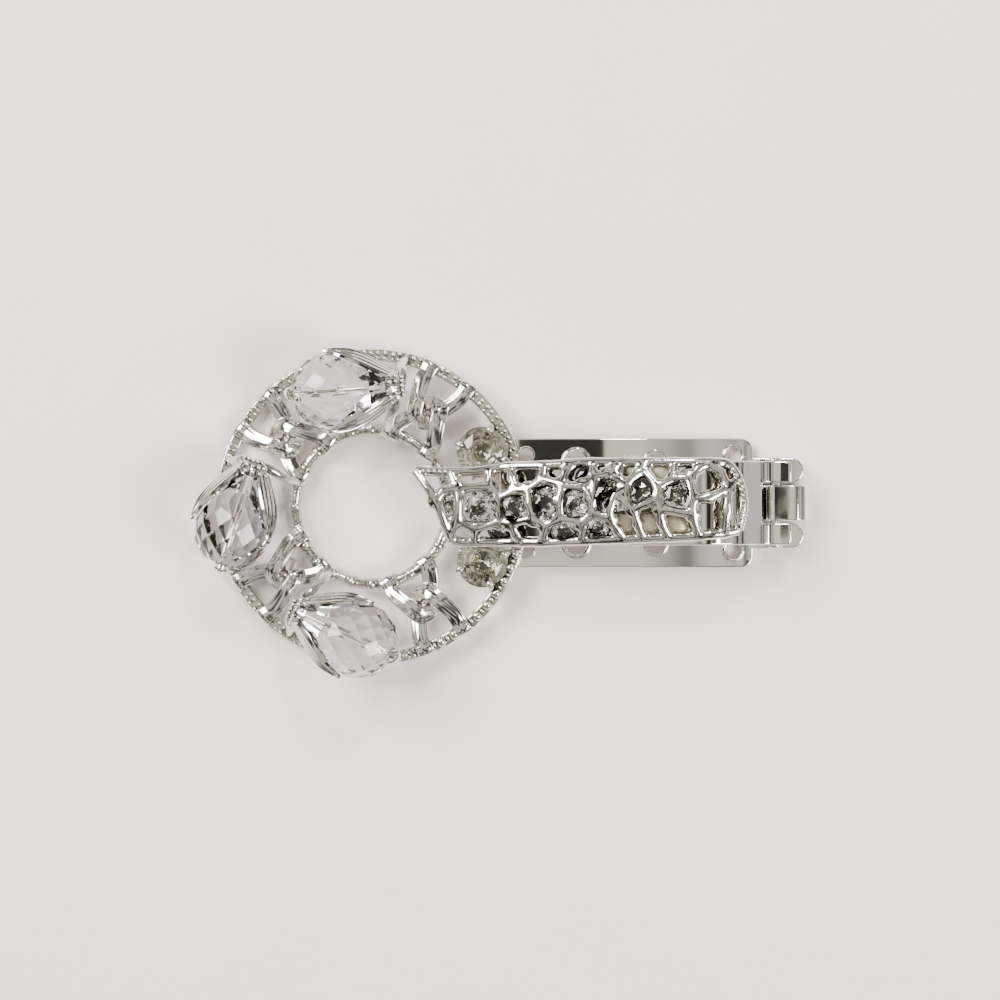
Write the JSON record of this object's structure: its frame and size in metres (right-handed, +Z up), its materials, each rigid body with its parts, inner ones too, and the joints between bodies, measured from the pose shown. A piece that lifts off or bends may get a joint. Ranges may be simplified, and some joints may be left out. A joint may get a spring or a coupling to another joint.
{
  "type": "hair clip",
  "caption": "Hinged metal hair clip: arched base plate, openwork arm set with rhinestones, and a wreath of faceted crystal drops.",
  "frame": {"origin": "middle of the bounding box in plan, on the surface that the clip rests on", "axes": "+X from the wreath towards the hinge, +Y across the clip, +Z up from the base plate to the arm"},
  "size_m": [0.0782, 0.0414, 0.0129],
  "materials": {
    "polished_plate": "mirror-polished rhodium plating",
    "cast_metal": "bright-dipped plated casting, darker in its recesses",
    "spring_steel": "drawn spring wire",
    "crystal": "clear cut glass with a faint lilac tint",
    "champagne_stone": "foil-backed cut glass, pale champagne",
    "rhinestone": "foil-backed cut glass"
  },
  "bodies": {
    "base": {"base_plate": "polished_plate", "hinge_pin": "polished_plate", "torsion_spring_left": "spring_steel", "torsion_spring_right": "spring_steel"},
    "arm": {"arm_strap": "polished_plate", "crystal_drop_1": "crystal", "crystal_drop_2": "crystal", "crystal_drop_3": "crystal", "headpin_1": "polished_plate", "headpin_2": "polished_plate", "headpin_3": "polished_plate", "knot_a_inner_loop": "polished_plate", "knot_a_outer_loop": "polished_plate", "knot_b_inner_loop": "polished_plate", "knot_b_outer_loop": "polished_plate", "knot_c_inner_loop": "polished_plate", "knot_c_outer_loop": "polished_plate", "knot_d_inner_loop": "polished_plate", "knot_d_outer_loop": "polished_plate", "leaf_calyx_1": "cast_metal", "leaf_calyx_2": "cast_metal", "leaf_calyx_3": "cast_metal", "openwork_cover": "cast_metal", "rhinestone_1": "rhinestone", "rhinestone_10": "rhinestone", "rhinestone_11": "rhinestone", "rhinestone_12": "rhinestone", "rhinestone_13": "rhinestone", "rhinestone_2": "rhinestone", "rhinestone_3": "rhinestone", "rhinestone_4": "rhinestone", "rhinestone_5": "rhinestone", "rhinestone_6": "rhinestone", "rhinestone_7": "rhinestone", "rhinestone_8": "rhinestone", "rhinestone_9": "rhinestone", "round_stone_left": "champagne_stone", "round_stone_right": "champagne_stone", "stone_setting_left": "cast_metal", "stone_setting_right": "cast_metal", "wreath_inner_ring": "cast_metal", "wreath_outer_ring": "cast_metal", "wreath_saddle": "cast_metal"}
  },
  "joints": [
    {"name": "arm_hinge", "type": "hinge", "parent": "base", "child": "arm", "pos_m": [0.03459, 0.00134, 0.0029], "axis": [0, 1, 0], "range_deg": [0, 40], "stiffness_Nm_per_rad": 0.05, "springref_deg": -34.38, "deforming": ["torsion_spring_left", "torsion_spring_right"]}
  ]
}
